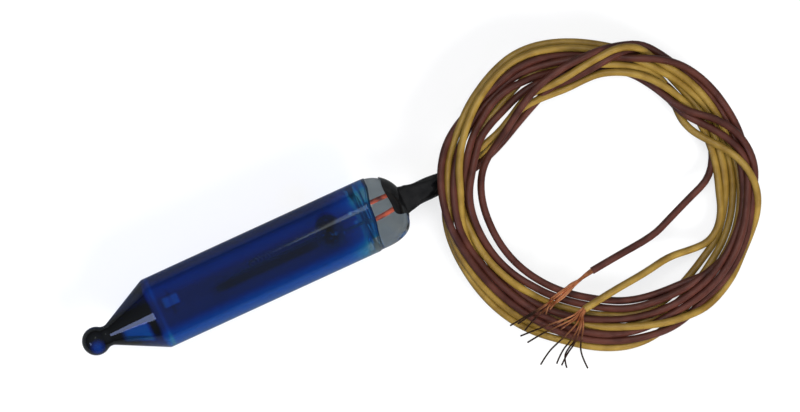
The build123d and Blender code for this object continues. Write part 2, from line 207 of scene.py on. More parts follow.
def first_path(turns, layers, first, last, extra, lifts):
    """A lead's turns as [unwound bearings, distances, heights, wanted distances], from its
    first to its last bearing. Extra knots and lifts are added by their unwound bearing."""
    knots, floors = {}, {}
    for number, (turn, layer) in enumerate(zip(turns, layers)):
        for bearing, distance, half in zip(TURN_KNOTS, turn, layer):
            floors[360 * number - bearing] = float(half)
            if distance is not None:
                knots[360 * number - bearing] = distance
    knots.update(extra)
    floors.update(lifts)
    along = np.arange(-first, -last + 1, STEP)
    at = np.array(sorted(knots))
    step = np.array(sorted(floors))
    distance = smooth_between(at, np.array([knots[a] for a in at]), along)
    half = np.interp(along, step, [floors[a] for a in step])
    height = LEAD_DIAMETER * (0.5 + HALF_LAYER * half + WIND_UP * along / STEP / 10)
    return [along, distance, height, distance.copy()]


paths = [
    first_path(YELLOW_TURNS, YELLOW_LAYERS, 122, -1454,
               extra={-52: 9.21, 367: 10.88, 1454: 8.50}, lifts={-68: 0, 306: 0, 322: 2}),
    first_path(BROWN_TURNS, BROWN_LAYERS, 122, -1782,
               extra={1782: 8.60, 1657: 8.64}, lifts={-68: 0, 1702: 0}),
]
print("points of the first paths:", [len(path[0]) for path in paths])

# %% [markdown]
# The ring lies on the floor on one side and on the sleeve on the other, so its underside is a
# tilted plane. The calculation counts in bearing, distance from the centre and height over
# that plane. Two small functions go from points to these three numbers and back.

# %% Between points and bearings
def underside(x, y):
    """Height of the tilted plane: the tilt's tangent times the way from its lowest edge."""
    towards = (x - RING_CENTRE[0]) * math.cos(RAISED_BEARING) \
        + (y - RING_CENTRE[1]) * math.sin(RAISED_BEARING)
    return np.tan(RING_TILT) * (RING_RADIUS + towards)


def to_ring(points):
    """Bearing as the table counts it, distance from the centre, height over the underside."""
    rel = points[:, :2] - RING_CENTRE
    bearing = np.degrees(np.arctan2(rel[:, 1], rel[:, 0]) - VIEW_TURN)
    return bearing % 360, np.hypot(*rel.T), points[:, 2] - underside(*points[:, :2].T)


def from_ring(along, distance, height):
    """The other way: points in mm from unwound bearing, distance and height."""
    turn = VIEW_TURN - np.radians(along)
    x = RING_CENTRE[0] + distance * np.cos(turn)
    y = RING_CENTRE[1] + distance * np.sin(turn)
    return np.stack([x, y, underside(x, y) + height], -1)


print("underside at the ring's centre in mm:", round(float(underside(*RING_CENTRE)), 2))

# %% [markdown]
# The listed starts and ends take part in the settling too, but they stay where they are.
# Each is followed as a smooth line and read off at every step of the bearing.

# %% Listed stretches as rows
def spline_line(points, samples=40):
    """The line of a quadratic spline with these control points. Each inner point pulls one
    parabola, (1 - t)^2 a + 2 t (1 - t) b + t^2 c, from the middle of the leg before it to the
    middle of the leg after it, and the first and last parabola reach the ends."""
    p = np.asarray(points, float)
    middle = (p[1:-2] + p[2:-1]) / 2
    ends = np.vstack([p[:1], middle, p[-1:]])
    t = np.linspace(0, 1, samples)[None, :, None]
    a, b, c = ends[:-1, None], p[1:-1, None], ends[1:, None]
    return ((1 - t)**2 * a + 2 * t * (1 - t) * b + t**2 * c).reshape(-1, 3)


def fixed_row(points, first_turn):
    """A listed stretch as [unwound bearings, distances, heights]. Its first turn says roughly at
    which unwound bearing it starts, as a whole turn more or less looks the same."""
    bearing, distance, height = to_ring(spline_line(points))
    along = np.degrees(np.unwrap(np.radians(-bearing)))
    along += 360 * round((first_turn - along[0]) / 360)
    order = np.argsort(along)
    steps = np.arange(math.ceil(along.min() / STEP) * STEP, along.max(), STEP)
    return [steps, np.interp(steps, along[order], distance[order]),
            np.interp(steps, along[order], height[order])]


fixed = [fixed_row(YELLOW_START, -150), fixed_row(BROWN_START, -150),
         fixed_row(YELLOW_END, 1470), fixed_row(BROWN_END, 1800)]
print("fixed rows from and to:", [(float(row[0][0]), float(row[0][-1])) for row in fixed])

# %% [markdown]
# Settling works on all the turns at once. At each bearing the turns are little circles in one
# upright section. Where two circles overlap, the upper one is lifted and the lower one is
# pressed down, and both move a little sideways. Then every path is smoothed, pulled back
# towards its table, and let down. After some hundred rounds the wires lie on one another as
# real ones do. A full simulation of the wires would say the same, but would take far longer.

# %% Which turns pass one another
MOST_TURNS = 6


def passing_turns(everything, movable):
    """Every pair of turns that pass one another, as two rows and the two stretches."""
    firsts = [int(round(row[0][0] / STEP)) for row in everything]
    pairs = []
    for i in range(movable):
        for j in range(i, len(everything)):
            for turns in range(-MOST_TURNS, MOST_TURNS + 1):
                if i == j and turns <= 0:
                    continue
                shift = firsts[i] - firsts[j] + turns * COLUMNS
                start = max(0, -shift)
                stop = min(len(everything[i][0]), len(everything[j][0]) - shift)
                if stop > start:
                    pairs.append((i, j, slice(start, stop), slice(start + shift, stop + shift)))
    return pairs


pairs = passing_turns(paths + fixed, len(paths))
print("pairs of turns that pass one another:", len(pairs))

# %% [markdown]
# Each overlap asks for a small move, and a path takes only a part of what all its overlaps ask
# for, so that the heap calms down instead of jumping about. Which of two turns is the upper
# one is settled at the start, from the heights in the table.

# %% Let the turns settle
ROUNDS = 700
SIDEWAYS = 0.5                # how much of a push goes sideways
MOST_LIFT, MOST_SHOVE = 0.10, 0.06      # the most that one overlap asks for, in mm
MOST_UP, MOST_OUT = 0.06, 0.04          # the most that a path moves in a round, in mm
BACK, SINK = 0.06, 0.010      # share of the way back to the table, and mm let down at first
SMOOTH_OUT, SMOOTH_UP = 0.12, 0.20      # share of each bend that is taken out


def pushes(everything, movable, above):
    """Sideways and upward moves for each row. Two circles with the sideways distance s need
    the height sqrt(d^2 - s^2) between them, where d is the wire's diameter."""
    gap = LEAD_DIAMETER
    moves = [[np.zeros(len(row[0])), np.zeros(len(row[0]))] for row in everything]
    for (i, j, here, there), sign in zip(pairs, above):
        out = everything[i][1][here] - everything[j][1][there]
        up = (everything[i][2][here] - everything[j][2][there]) * sign
        side = np.clip(np.abs(out), 0, gap)
        need = np.clip(np.sqrt(gap**2 - side**2) - up, 0, gap) * (side < gap)
        lift = np.clip(need, 0, MOST_LIFT) * sign
        shove = np.clip(need, 0, MOST_SHOVE) * np.sign(out) * (side / gap)**2 * SIDEWAYS
        share = 1.0 if j >= movable else 0.5
        moves[i][0][here] += shove * share
        moves[i][1][here] += lift * share
        if j < movable:
            moves[j][0][there] -= shove * share
            moves[j][1][there] -= lift * share
    return moves


def settle(paths, fixed):
    """Moves the paths, in place, until they lie on one another and on the underside."""
    everything = paths + fixed
    above = [np.where(everything[i][2][here] >= everything[j][2][there], 1.0, -1.0)
             for i, j, here, there in pairs]
    for number in range(ROUNDS):
        sink = SINK * (1.0 - number / ROUNDS)
        for path, (out, up) in zip(paths, pushes(everything, len(paths), above)):
            path[1] += np.clip(out, -MOST_OUT, MOST_OUT) + (path[3] - path[1]) * BACK
            path[2] += np.clip(up * 0.5, -MOST_UP, MOST_UP) - sink
            for values, amount in ((path[1], SMOOTH_OUT), (path[2], SMOOTH_UP)):
                bend = values[:-2] - 2 * values[1:-1] + values[2:]
                values[1:-1] += amount * bend
            np.maximum(path[2], LEAD_DIAMETER / 2, out=path[2])


settle(paths, fixed)
everything = paths + fixed
apart = np.concatenate([np.hypot(everything[i][1][here] - everything[j][1][there],
                                 everything[i][2][here] - everything[j][2][there])
                        for i, j, here, there in pairs]) / LEAD_DIAMETER
highest = max(float(path[2].max()) for path in paths)
furthest = max(float(np.abs(path[3] - path[1]).max()) for path in paths)
print("closest two turns, as a share of the diameter:", round(float(apart.min()), 2),
      "| share of bearings closer than 0.85:", round(float((apart < 0.85).sum() / COLUMNS), 2),
      "| highest wire in mm:", round(highest, 2), "| furthest from the table:", round(furthest, 2))

# %% [markdown]
# A bevelled curve is the simplest cord: one open spline with the points as its control points.
# The order is set after the points, because a spline without points can't hold it. The wire's
# radius sits on the points and the bevel is 1, so that the curve's own box is the wire's: with
# the usual point radius of 1 that box would reach a whole metre past the wire.

# %% The two leads as curves
EVERY = 4                     # one point of the curve for so many steps of the calculation


def cord_curve(name, points, diameter):
    """One open, smooth spline through the space between its control points, given in mm."""
    curve = bpy.data.curves.new(name, "CURVE")
    curve.dimensions = "3D"
    spline = curve.splines.new("NURBS")
    spline.points.add(len(points) - 1)
    weighted = np.hstack([np.asarray(points) * MM, np.ones((len(points), 1))])
    spline.points.foreach_set("co", weighted.ravel())
    spline.points.foreach_set("radius", np.full(len(points), diameter / 2 * MM))
    spline.order_u = 3
    spline.use_endpoint_u = True
    curve.resolution_u = 4
    curve.bevel_depth = 1.0
    curve.bevel_resolution = 4
    curve.use_fill_caps = True
    piece = bpy.data.objects.new(name, curve)
    scene.collection.objects.link(piece)
    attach(piece, "bulb")
    return piece


lead_points = {}
for name, path, start, end in (("yellow_lead", paths[0], YELLOW_START, YELLOW_END),
                               ("brown_lead", paths[1], BROWN_START, BROWN_END)):
    turns = from_ring(*path[:3])[::EVERY]
    lead_points[name] = np.vstack([start, turns[1:-1], end])
yellow_lead = cord_curve("yellow_lead", lead_points["yellow_lead"], LEAD_DIAMETER)
brown_lead = cord_curve("brown_lead", lead_points["brown_lead"], LEAD_DIAMETER)
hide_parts("yellow_lead_start", "yellow_lead_end", "lead_coil")
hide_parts("brown_lead_start", "brown_lead_end", "lead_coil")

# %% [markdown]
# ## Bare strands
#
# Where the insulation ends, the copper core fans out into single strands. Each strand is a thin
# tube carried along its own smooth line. The tube is a ring of points set across the line.

# %% A tube along a line
def tube(line, radius, around=8):
    """Points on rings of the given radius, set square to a line, and the faces between them.
    The ends are closed by a ring that has shrunk to a point."""
    line = np.asarray(line, float)
    along = np.gradient(line, axis=0)
    along /= np.linalg.norm(along, axis=1, keepdims=True)
    side = np.cross(along, [0.0, 0.0, 1.0])
    side /= np.linalg.norm(side, axis=1, keepdims=True)
    up = np.cross(side, along)
    turn = np.linspace(0, 2 * np.pi, around, endpoint=False)[None, :, None]
    size = np.broadcast_to(np.asarray(radius, float), (len(line),))[:, None, None]
    rings = line[:, None] + size * (np.cos(turn) * side[:, None] + np.sin(turn) * up[:, None])
    rings = np.concatenate([np.repeat(line[:1, None], around, 1), rings,
                            np.repeat(line[-1:, None], around, 1)])
    return rings.reshape(-1, 3), grid_faces(len(line) + 2, around, True)[:, ::-1]


def joined(parts):
    """Several pieces of points and faces as one."""
    points, faces, count = [], [], 0
    for p, f in parts:
        points.append(p)
        faces.append(np.asarray(f) + count)
        count += len(p)
    return np.vstack(points), np.vstack(faces)


print("faces of a tube along 3 points:", len(tube([(0, 0, 0), (1, 0, 0), (2, 0, 0)], 0.1)[1]))

# %% [markdown]
# The strands of the real leads are bent from handling: each leaves the core with the others, then
# curls its own way over the ring. Their courses are listed as points seen from above, and a formula
# gives the height: from the lead's end over the wires of the ring, and on beyond them.
# Hair would make more strands, but no lead this thin has more than about ten.

# %% The strands of both leads
STRAND_RADIUS = 0.058
CORE_RADIUS = LEAD_DIAMETER / 2 - 0.12
BEHIND, STRAIGHT = 0.3, 0.2   # how far a strand starts inside the lead, and leaves it straight
STRAND_WAVE = 0.05            # how much the strands differ in height
YELLOW_STRANDS = [
    [(17.12, -11.94), (15.41, -11.76), (13.35, -11.67)],
    [(17.19, -12.12), (15.85, -12.11), (14.72, -12.12), (13.60, -12.27)],
    [(17.26, -12.46), (16.33, -12.85), (15.36, -13.16), (14.55, -13.46), (13.78, -14.00)],
    [(17.30, -12.70), (16.40, -13.34), (15.47, -13.73), (14.80, -14.39)],
    [(17.33, -12.79), (16.48, -13.67), (15.70, -14.06), (15.06, -14.63)],
    [(17.39, -12.82), (16.65, -13.45), (15.90, -13.78), (15.40, -14.22), (15.30, -14.93)],
    [(17.49, -12.94), (16.76, -13.87), (16.54, -14.67), (16.58, -15.55)],
    [(17.21, -11.91), (16.63, -11.87), (15.93, -11.92)],
    [(17.31, -12.18), (16.67, -12.26), (16.01, -12.41)],
]
BROWN_STRANDS = [
    [(18.48, -9.88), (17.36, -9.96), (16.09, -10.27)],
    [(18.50, -9.92), (17.46, -10.23), (16.25, -10.57), (15.29, -10.88)],
    [(18.42, -9.92), (17.60, -9.92), (16.70, -10.25), (15.58, -10.57), (13.52, -10.82)],
    [(18.52, -9.86), (17.78, -9.85), (17.18, -10.18), (15.70, -10.47), (13.00, -10.73)],
    [(18.45, -9.94), (17.73, -10.28), (16.83, -10.61), (15.13, -10.73), (13.75, -11.45)],
    [(18.51, -9.97), (17.85, -10.19), (16.67, -10.47), (15.90, -10.86)],
    [(18.45, -9.86), (17.42, -10.14), (16.45, -10.29), (15.86, -10.62), (15.51, -11.05)],
]


def fan(name, lead, courses, middle, last):
    """All bare strands of a lead: they start on a small circle in its core and spread out.
    Their height goes from the lead's end to one height half way and to another at the tips."""
    end, before = lead[-1], lead[-2]
    along = (end - before) / np.linalg.norm(end - before)
    side = np.cross(along, [0.0, 0.0, 1.0])
    side /= np.linalg.norm(side)
    up = np.cross(side, along)
    parts = []
    for number, course in enumerate(courses):
        turn = 2 * np.pi * number / len(courses)
        root = end + CORE_RADIUS * (math.cos(turn) * side + math.sin(turn) * up)
        share = np.linspace(0, 1, len(course) + 1)[1:]
        height = np.interp(share, [0, 0.5, 1], [end[2], middle, last])
        height += STRAND_WAVE * math.sin(5 * turn)
        route = np.vstack([root - BEHIND * along, root + STRAIGHT * along,
                           np.column_stack([course, height])])
        parts.append(tube(spline_line(route, 10), STRAND_RADIUS))
    print(name, "strands:", len(parts))
    return new_piece(name, *joined(parts), slot="bare_copper")


yellow_fan = fan("yellow_bare_strands", lead_points["yellow_lead"], YELLOW_STRANDS, 3.25, 2.75)
brown_fan = fan("brown_bare_strands", lead_points["brown_lead"], BROWN_STRANDS, 3.15, 3.40)
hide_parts("yellow_strands")
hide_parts("brown_strands")

# %% [markdown]
# ## The glass
#
# The envelope is a solid of revolution: a little drawn-off ball at the tip, a hollow blend, a
# cone, a rounded shoulder, the tube and the rounded, sealed end. Its half profile is made of
# arcs and straight lines. It could be turned with a Screw modifier, but a grid of profile
# points times angles gives clean faces whose poles are closed.

# %% Half profile of the envelope
TIP_X, SHOULDER_X, TUBE_END_X, BASE_X = -13.82, -8.43, 7.77, 9.87
AXIS_Z = 2.50
GLASS_RADIUS = 2.45
BALL_RADIUS, BLEND_RADIUS, SHOULDER_RADIUS = 0.925, 0.62, 0.45
SEAL_RADIUS = 1.025           # where the rounding of the sealed end meets the flat base
BASE_POINTS = 3               # the last points of the outline, which make the flat base
CONE_ANGLE = math.radians(27.0)


def arc(centre, radius, start, stop, count):
    """Points on an arc, angles in radians."""
    t = np.linspace(start, stop, count)
    return np.stack([centre[0] + radius * np.cos(t), centre[1] + radius * np.sin(t)], -1)


def outline(skin=0.0):
    """Outside of the envelope, (x, distance from the axis), moved outwards by a skin. The
    hollow blend touches the cone and the ball, so its centre is one blend radius away from
    the cone's line and ball plus blend radius away from the ball's centre. The rounding of
    the end has the radius (rise^2 + run^2) / (2 rise) of an arc over a rise and a run."""
    ball_x, ball = TIP_X + BALL_RADIUS, BALL_RADIUS + skin
    blend, shoulder = BLEND_RADIUS - skin, SHOULDER_RADIUS + skin
    slope = np.array([math.cos(CONE_ANGLE), math.sin(CONE_ANGLE)])
    normal = np.array([-slope[1], slope[0]])
    foot = np.array([SHOULDER_X - GLASS_RADIUS / math.tan(CONE_ANGLE), 0.0]) + normal * skin
    reach = foot + normal * blend - np.array([ball_x, 0.0])
    along = reach @ slope
    far = -along + math.sqrt(along**2 - reach @ reach + (ball + blend)**2)
    hollow = foot + normal * blend + slope * far
    lean = math.atan2(hollow[1], hollow[0] - ball_x)
    round_x = SHOULDER_X - skin * math.tan(CONE_ANGLE / 2) + shoulder * math.tan(CONE_ANGLE / 2)
    radius, end = GLASS_RADIUS + skin, BASE_X + skin
    rise, run = radius - SEAL_RADIUS, end - TUBE_END_X
    bulge = (rise**2 + run**2) / (2 * rise)
    sweep = math.asin(run / bulge)
    return np.vstack([
        arc((ball_x, 0), ball, math.pi, lean, 40),
        arc(hollow, blend, lean - math.pi, CONE_ANGLE - math.pi / 2, 14)[1:],
        arc((round_x, radius - shoulder), shoulder, math.pi / 2 + CONE_ANGLE, math.pi / 2, 12),
        [(x, radius) for x in np.linspace(round_x, TUBE_END_X, 42)[1:]],
        arc((TUBE_END_X, radius - bulge), bulge, math.pi / 2, math.pi / 2 - sweep, 24)[1:],
        [(end + 0.02, r) for r in np.linspace(0.80, 0.0, BASE_POINTS)],
    ])


print("points of the outline:", len(outline()))

# %% [markdown]
# The glass is hollow, and light goes through a wall quite differently than through a solid
# rod. So the inside is a second profile, one wall thickness in, with a small round at the tip
# and a large one at the seal, where the glass was melted together.

# %% Inside of the envelope
WALL = 0.40
GAS_END_X = 7.42
TIP_ROUND, SEAL_ROUND = 0.10, 1.1


def gas_outline():
    """Inside of the envelope, from the drawn tip to the seal, as (x, distance from the axis).
    The cone's line, moved inwards by the wall, lies wall / cos(angle) nearer to the axis."""
    bore, slope = GLASS_RADIUS - WALL, CONE_ANGLE
    inset = WALL / math.cos(slope)
    tip = SHOULDER_X - (GLASS_RADIUS - inset - 2 * TIP_ROUND) / math.tan(slope)
    corner = SHOULDER_X - (inset - WALL) / math.tan(slope)
    turn = SHOULDER_RADIUS * math.tan(slope / 2)
    steep = math.pi / 2 + slope
    return np.vstack([
        [(tip - 0.04, 0.0)],
        arc((tip + 0.06, TIP_ROUND), TIP_ROUND, math.pi, steep, 6),
        arc((corner + turn, bore - SHOULDER_RADIUS), SHOULDER_RADIUS, steep, math.pi / 2, 10),
        [(x, bore) for x in np.linspace(corner + turn, GAS_END_X - SEAL_ROUND, 30)[1:]],
        arc((GAS_END_X - SEAL_ROUND, bore - SEAL_ROUND), SEAL_ROUND, math.pi / 2, 0.0, 16)[1:],
        [(GAS_END_X, 0.5), (GAS_END_X, 0.0)],
    ])


print("points of the inside:", len(gas_outline()))

# %% [markdown]
# Turning a profile is one formula for all its points: x stays, and the distance from the axis
# goes round. The real end isn't quite a solid of revolution: it was shaped while soft, and
# the side near the viewer is squarer.

# %% Turn the profiles into the glass
AROUND = 128                  # points round the axis
SQUARER = 1.1                 # how far the near side's rounding is pushed to the base, in mm


def lathe(profile, inward=False):
    """A profile turned about the bulb's axis: y = r cos t, z = axis + r sin t. Inward
    surfaces get their faces the other way."""
    turn = np.linspace(0, 2 * np.pi, AROUND, endpoint=False)
    x = np.broadcast_to(profile[:, :1], (len(profile), AROUND))
    y = profile[:, 1:] * np.cos(turn)
    z = AXIS_Z + profile[:, 1:] * np.sin(turn)
    faces = grid_faces(len(profile), AROUND, True)
    return np.stack([x, y, z], -1).reshape(-1, 3), faces[:, ::-1] if inward else faces


def envelope():
    """The outside, turned about the axis. On the near side the rounding of the sealed end
    starts later: the x of its points is pushed by a bump that is 0 at both its ends."""
    points, faces = lathe(outline())
    x, y, z = points.T
    near = np.clip(-y / GLASS_RADIUS, 0, 1)
    share = np.clip((x - TUBE_END_X) / (BASE_X - TUBE_END_X), 0, 1)
    later = share * (1 - share)**0.6 * near * SQUARER
    return np.stack([x + later, y, z], -1), faces


glass = new_piece("glass_tube", *joined([envelope(), lathe(gas_outline(), inward=True)]),
                  slot="clear_glass")
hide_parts("glass_envelope")
print("glass faces:", len(glass.data.polygons))

# %% [markdown]
# ## The lacquer
#
# The bulb was dipped in blue lacquer, tip first, up to a slanting edge near its sealed end. The
# film is its own thin closed skin just outside the glass, so it keeps a clear edge.

# %% A film with a slanting edge
FILM = 0.05                   # outside of the film over the glass, in mm
FILM_GAP = 0.008              # inside of the film over the glass
DIP_X = BASE_X - 2.22
ACROSS, UPWARDS = math.tan(math.radians(10)), math.tan(math.radians(4))     # the cut's slants


def dip_edge(turn):
    """Where the film ends, for an angle about the axis: a slanting cut with small waves."""
    slant = GLASS_RADIUS * (ACROSS * np.cos(turn) + UPWARDS * np.sin(turn))
    waves = 0.05 * np.sin(3 * turn + 0.6) + 0.03 * np.sin(7 * turn + 2.0)
    return DIP_X + slant + waves


def film_side(skin):
    """One side of the film: the outline up to the shoulder, then rows of points stretched
    evenly to the edge, at the outline's own distance from the axis."""
    profile = outline(skin)
    front = profile[profile[:, 0] < SHOULDER_X + 0.2]
    turn = np.linspace(0, 2 * np.pi, AROUND, endpoint=False)[None, :]
    share = np.linspace(0, 1, 61)[1:, None]
    x = front[-1, 0] + share * (dip_edge(turn) - front[-1, 0])
    back = profile[len(front) - 1:-BASE_POINTS]
    r = np.interp(x, back[:, 0], back[:, 1])
    x = np.vstack([np.broadcast_to(front[:, :1], (len(front), AROUND)), x])
    r = np.vstack([np.broadcast_to(front[:, 1:], (len(front), AROUND)), r])
    return np.stack([x, r * np.cos(turn), AXIS_Z + r * np.sin(turn)], -1)


film_points = np.concatenate([film_side(FILM), film_side(FILM_GAP)[::-1]])
film = new_piece("lacquer_film", film_points.reshape(-1, 3),
                 grid_faces(len(film_points), AROUND, True), slot="blue_lacquer")
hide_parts("blue_lacquer")
print("film edge from", round(float(dip_edge(np.pi)), 2), "to", round(float(dip_edge(0.0)), 2))

# %% [markdown]
# ## The sleeve
#
# Both joints of the leads sit in one piece of black shrunk tube. Shrinking it over two round
# joints leaves it flattened, waisted and a little crumpled, and its mouth is ragged.

# %% The shrunk sleeve
SLEEVE_AROUND = 72
SLEEVE_ALONG = np.linspace(0.02, 4.0, 60)
SLEEVE_WALL = 0.13
SLEEVE_WIDTHS = ([0, 0.3, 1.0, 2.0, 3.2, 4.0], [1.98, 1.78, 1.52, 1.46, 1.38, 1.30])
SLEEVE_HEIGHTS = ([0, 0.3, 1.0, 1.6, 2.7, 4.0], [1.45, 1.30, 1.10, 1.02, 0.95, 0.80])
FULLNESS = 2.6                # 2 makes an ellipse, and more makes fuller corners
KINK = 1.0                    # where the sleeve bends down, from the end of the glass
DROOP = math.radians(12.0)


def sleeve_shell(inset):
    """A flattened tube along the sleeve's bent line. Its section is |c|^p + |d|^p = 1, times
    half the width and half the height, which change along it. Small folds run round it, a
    groove runs between the two joints, and the mouth is ragged."""
    s = SLEEVE_ALONG[:, None]
    t = np.linspace(0, 2 * np.pi, SLEEVE_AROUND, endpoint=False)[None, :]
    width = np.interp(s, *SLEEVE_WIDTHS)
    height = np.interp(s, *SLEEVE_HEIGHTS)
    folds = 0.035 * np.sin(3 * t + 1.1 * s) + 0.02 * np.sin(5 * t - 2.3 * s + 1.0) \
        + 0.03 * np.exp(-((s - 0.55) / 0.12)**2) * np.sin(2 * t + 0.8)
    c, d = np.cos(t), np.sin(t)
    shape = (np.abs(c)**FULLNESS + np.abs(d)**FULLNESS)**(-1 / FULLNESS)
    ragged = 0.10 * np.sin(5 * t + 0.4) + 0.06 * np.sin(11 * t)
    s = s + np.clip((s - 3.2) / 0.8, 0, 1) * ragged
    groove = 0.05 * np.exp(-(c / 0.22)**2) * np.sign(d) * np.clip((s - 0.8) / 0.6, 0, 1)
    y = (width / 2 - inset + folds) * c * shape
    up = (height / 2 - inset + folds) * d * shape - groove
    past = np.clip(s - KINK, 0, None)
    bend = np.clip((s - 0.7) / 0.6, 0, 1) * DROOP
    x = BASE_X + np.minimum(s, KINK) + past * np.cos(DROOP) + up * np.sin(bend)
    z = AXIS_Z - past * np.sin(DROOP) + up * np.cos(bend)
    return np.stack(np.broadcast_arrays(x, y, z), -1)


print("sleeve from", round(float(sleeve_shell(0.0)[..., 0].min()), 2),
      "to", round(float(sleeve_shell(0.0)[..., 0].max()), 2), "mm")

# %% [markdown]
# At its other end a black foot lies over the rounded glass on the upper far side. It is painted
# shade: a dark shell where the rounded glass looks dark. This foot is its own shell, which follows
# the outline of the glass.

# %% A black foot on the glass, as painted shade
SHADE_FOOT_REACH = 0.76                  # how far the foot reaches over the glass, in mm
SHADE_FOOT_BEARING = math.radians(38)
FOOT_OUTSIDE, FOOT_INSIDE = 0.09, 0.015     # its two sides over the glass, in mm


def shade_foot_side(skin):
    """One side of the dark foot, painted shade over the glass's rounded end. It reaches over the
    rounded end of the glass on the upper far side, and on the near side it stops at the flat base."""
    profile = outline(skin)
    turn = np.linspace(0, 2 * np.pi, SLEEVE_AROUND, endpoint=False)[None, :]
    covers = np.clip(np.cos(turn - SHADE_FOOT_BEARING) * 1.9 + 0.1, 0, 1)
    covers = covers**2 * (3 - 2 * covers)
    start = BASE_X - 0.02 - covers * SHADE_FOOT_REACH + 0.05 * np.sin(5 * turn)
    share = np.linspace(0, 1, 14)[:, None]
    seal = profile[profile[:, 0] > TUBE_END_X][:-BASE_POINTS]
    x = start + share * (BASE_X + skin - start)
    r = np.interp(x, seal[:, 0], seal[:, 1])
    x = np.vstack([x, x[-1:] + 0.02])
    r = np.vstack([r, np.full((1, SLEEVE_AROUND), 0.70)])
    return np.stack([x, r * np.cos(turn), AXIS_Z + r * np.sin(turn)], -1)


def closed_wall(outside, inside):
    """A wall from its outer and inner rings of points: out, back inside, and to the start."""
    rings = np.concatenate([outside, inside[::-1], outside[:1]])
    return rings.reshape(-1, 3), grid_faces(len(rings), SLEEVE_AROUND, True)


sleeve = new_piece("black_sleeve", *joined([
    closed_wall(sleeve_shell(0.0), sleeve_shell(SLEEVE_WALL)),
    # The second wall is the dark foot, painted shade over the glass's rounded end.
    closed_wall(shade_foot_side(FOOT_OUTSIDE), shade_foot_side(FOOT_INSIDE)),
]), slot="black_sleeve")
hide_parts("shrink_sleeve")
print("sleeve faces:", len(sleeve.data.polygons))

# %% [markdown]
# ## Finishes
#
# Each finish is a small tree of nodes on Object coordinates. What is the same all over a piece
# is set on the shader itself, and what changes from place to place comes from nodes.

# %% Helpers for materials
def finish_of(name, **values):
    """A material with its main shader's plain values set, and that shader."""
    material = bpy.data.materials.new(name)
    material.use_nodes = True
    shader = material.node_tree.nodes["Principled BSDF"]
    for key, value in values.items():
        shader.inputs[key.replace("_", " ")].default_value = value
    return material, shader


def add(place, kind, inputs=None, **settings):
    """A node with its settings and inputs: a value is set, a socket is linked. The place is
    a material, a world or a node group."""
    tree = getattr(place, "node_tree", place)
    node = tree.nodes.new(kind)
    for key, value in settings.items():
        setattr(node, key, value)
    for key, value in (inputs or {}).items():
        if isinstance(value, bpy.types.NodeSocket):
            tree.links.new(value, node.inputs[key])
        else:
            node.inputs[key].default_value = value
    return node


def link(place, start, end):
    """A link between two sockets."""
    getattr(place, "node_tree", place).links.new(start, end)


def calculated(place, operation, *values):
    """The result of a Math node whose values are numbers or sockets."""
    return add(place, "ShaderNodeMath", dict(enumerate(values)), operation=operation).outputs[0]


def blended(place, share, first, second):
    """A colour between the first one, at share 0, and the second one, at share 1."""
    inputs = {0: share, 6: first, 7: second}
    return add(place, "ShaderNodeMix", inputs, data_type="RGBA").outputs[2]


def spread_between(place, value, low, high):
    """0 below the first value, 1 above the second, with a soft start and end."""
    inputs = {"Value": value, "From Min": low, "From Max": high}
    return add(place, "ShaderNodeMapRange", inputs,
               interpolation_type="SMOOTHSTEP").outputs["Result"]


def how_far(place, where, centre):
    """The distance of a place from a centre given in metres."""
    return add(place, "ShaderNodeVectorMath", {0: where, 1: centre},
               operation="DISTANCE").outputs["Value"]


def two_looks(place, share, first, second, output="Material Output"):
    """The output shows the first shader, and by the given share the second one."""
    inputs = {0: share, 1: first.outputs[0], 2: second.outputs[0]}
    mix = add(place, "ShaderNodeMixShader", inputs)
    link(place, mix.outputs[0], place.node_tree.nodes[output].inputs["Surface"])


def paint(piece, material):
    """The piece gets this material and no other."""
    piece.data.materials.clear()
    piece.data.materials.append(material)


print("materials before the finishes:", len(bpy.data.materials))

# %% [markdown]
# No surface of this little object has one flat colour. Insulation, solder and old copper all
# wander between a darker and a lighter tone, and are a little uneven. One node group does that
# for all of them, and each material gives it its own two tones and its own grain size.

# %% The node group for mottling
def mottling_group():
    """Tone = dark + (light - dark) * noise, stretched between Low and High, with its bump."""
    group = bpy.data.node_groups.new("mottling", "ShaderNodeTree")
    sockets = [("Dark", "NodeSocketColor", (0.0, 0.0, 0.0, 1.0)),
               ("Light", "NodeSocketColor", (1.0, 1.0, 1.0, 1.0)),
               ("Scale", "NodeSocketFloat", 1000.0), ("Low", "NodeSocketFloat", 0.35),
               ("High", "NodeSocketFloat", 0.65), ("Bump", "NodeSocketFloat", 0.1)]
    for name, kind, value in sockets:
        socket = group.interface.new_socket(name=name, in_out="INPUT", socket_type=kind)
        socket.default_value = value
    group.interface.new_socket(name="Tone", in_out="OUTPUT", socket_type="NodeSocketColor")
    group.interface.new_socket(name="Normal", in_out="OUTPUT", socket_type="NodeSocketVector")
    given = add(group, "NodeGroupInput").outputs
    result = add(group, "NodeGroupOutput")
    where = add(group, "ShaderNodeTexCoord").outputs["Object"]
    noise = add(group, "ShaderNodeTexNoise",
                {"Vector": where, "Scale": given["Scale"], "Detail": 4.0}).outputs["Fac"]
    share = add(group, "ShaderNodeMapRange", {"Value": noise, "From Min": given["Low"],
                                              "From Max": given["High"]}).outputs["Result"]
    tone = blended(group, share, given["Dark"], given["Light"])
    bump = add(group, "ShaderNodeBump", {"Height": noise, "Strength": given["Bump"],
                                         "Distance": 0.00005}).outputs["Normal"]
    link(group, tone, result.inputs["Tone"])
    link(group, bump, result.inputs["Normal"])
    return group


MOTTLING = mottling_group()


def mottled(material, shader, dark, light, scale, bump=0.0, low=0.35, high=0.65):
    """Put the mottling on a material: its tone as the base colour, and its bump if wanted."""
    node = add(material, "ShaderNodeGroup", {
        "Dark": (*dark, 1.0), "Light": (*light, 1.0), "Scale": scale, "Low": low, "High": high,
        "Bump": bump,
    }, node_tree=MOTTLING)
    link(material, node.outputs["Tone"], shader.inputs["Base Color"])
    if bump:
        link(material, node.outputs["Normal"], shader.inputs["Normal"])
    return node.outputs["Tone"]


